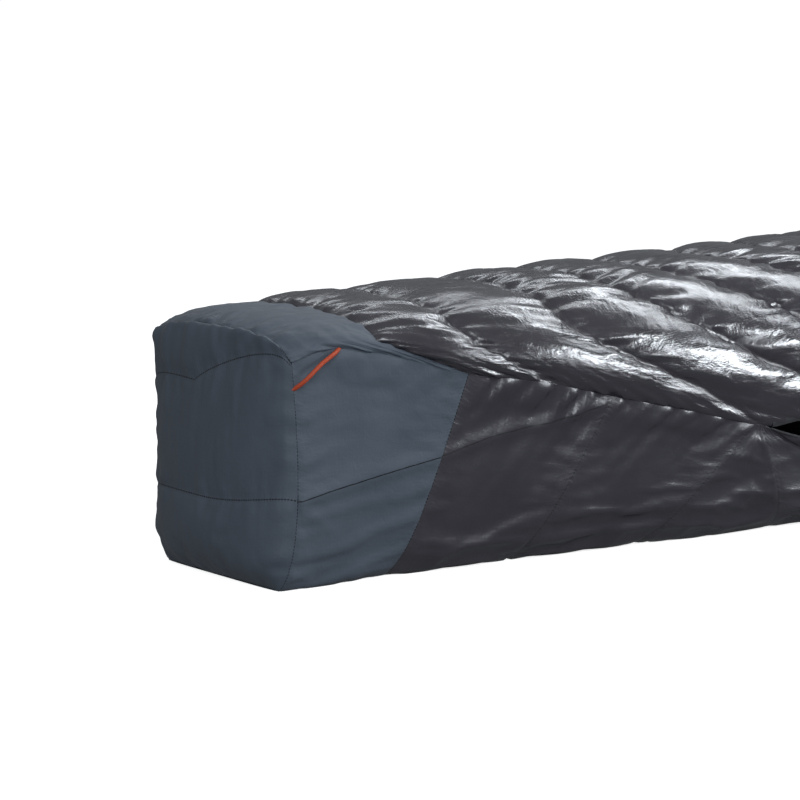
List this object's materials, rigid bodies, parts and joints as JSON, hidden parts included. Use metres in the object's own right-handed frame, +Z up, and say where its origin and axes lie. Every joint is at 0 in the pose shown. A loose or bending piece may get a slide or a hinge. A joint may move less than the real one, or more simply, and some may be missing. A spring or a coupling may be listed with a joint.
{
  "type": "camp quilt",
  "caption": "Down-filled camp quilt with a closed box foot, side seams sewn to the knee, an open back with two pad straps, and hang loops at the foot.",
  "frame": {"origin": "middle of the quilt's box, on the floor that it lies on", "axes": "+X from the foot towards the head, +Y to the sleeper's right seen from the foot with the sleeper face up, +Z up"},
  "size_m": [2.0024, 0.6968, 0.3595],
  "materials": {
    "slate_shell": "matt proofed ripstop",
    "plum_shell": "glossy calendered nylon",
    "liner_cloth": "soft taffeta",
    "baffle_mesh": "fine mesh",
    "edge_tape": "woven tape",
    "webbing": "elastic webbing",
    "snap_metal": "satin",
    "down_fill": "down clusters",
    "loop_cord": "braided cord",
    "buckle_plastic": "moulded"
  },
  "bodies": {
    "quilt": {"footbox_end_shell": "slate_shell", "footbox_top_shell": "slate_shell", "footbox_base_shell": "slate_shell", "top_shell": "plum_shell", "base_shell": "plum_shell", "end_liner": "liner_cloth", "top_liner": "liner_cloth", "base_liner": "liner_cloth", "draft_collar": "liner_cloth", "top_baffle_walls": "baffle_mesh", "base_baffle_walls": "baffle_mesh", "edge_binding_left": "edge_tape", "edge_binding_right": "edge_tape", "base_hem_binding": "edge_tape", "neck_binding": "edge_tape", "neck_tab_lower": "webbing", "neck_tab_upper": "webbing", "hip_strap_short": "webbing", "hip_strap_long": "webbing", "chest_strap_short": "webbing", "chest_strap_long": "webbing", "neck_snap_socket": "snap_metal", "top_fill_01": "down_fill", "top_fill_02": "down_fill", "top_fill_03": "down_fill", "top_fill_04": "down_fill", "top_fill_05": "down_fill", "top_fill_06": "down_fill", "top_fill_07": "down_fill", "top_fill_08": "down_fill", "top_fill_09": "down_fill", "top_fill_10": "down_fill", "top_fill_11": "down_fill", "top_fill_12": "down_fill", "top_fill_13": "down_fill", "top_fill_14": "down_fill", "top_fill_15": "down_fill", "base_fill_1": "down_fill", "base_fill_2": "down_fill", "base_fill_3": "down_fill", "base_fill_4": "down_fill", "base_fill_5": "down_fill", "end_fill_lower": "down_fill", "end_fill_middle": "down_fill", "end_fill_upper": "down_fill", "hip_buckle_socket": "buckle_plastic", "chest_buckle_socket": "buckle_plastic"},
    "hang_loop_left": {"hang_loop_left": "loop_cord"},
    "hang_loop_right": {"hang_loop_right": "loop_cord"},
    "hip_plug": {"hip_buckle_plug": "buckle_plastic"},
    "chest_plug": {"chest_buckle_plug": "buckle_plastic"},
    "hip_adjuster": {"hip_strap_adjuster": "buckle_plastic"},
    "chest_adjuster": {"chest_strap_adjuster": "buckle_plastic"},
    "neck_snap": {"neck_snap_cap": "snap_metal"}
  },
  "joints": [
    {"name": "hang_loop_left_swing", "type": "hinge", "parent": "quilt", "child": "hang_loop_left", "pos_m": [-0.9287, -0.1605, 0.2765], "axis": [0.8262, 0, 0.5633], "range_deg": [0, 110]},
    {"name": "hang_loop_right_swing", "type": "hinge", "parent": "quilt", "child": "hang_loop_right", "pos_m": [-0.9287, 0.1605, 0.2765], "axis": [-0.8262, 0, -0.5633], "range_deg": [0, 110]},
    {"name": "hip_buckle_release", "type": "slide", "parent": "quilt", "child": "hip_plug", "axis": [0, 1, 0], "range_m": [0, 0.034], "deforming": ["hip_strap_long"]},
    {"name": "chest_buckle_release", "type": "slide", "parent": "quilt", "child": "chest_plug", "axis": [0, 1, 0], "range_m": [0, 0.034], "deforming": ["chest_strap_long"]},
    {"name": "hip_adjuster_slide", "type": "slide", "parent": "quilt", "child": "hip_adjuster", "axis": [0, 1, 0], "range_m": [-0.03, 0.03]},
    {"name": "chest_adjuster_slide", "type": "slide", "parent": "quilt", "child": "chest_adjuster", "axis": [0, 1, 0], "range_m": [-0.03, 0.03]},
    {"name": "neck_snap_lift", "type": "slide", "parent": "quilt", "child": "neck_snap", "axis": [0, 0, 1], "range_m": [0, 0.02], "deforming": ["neck_tab_upper"]}
  ]
}
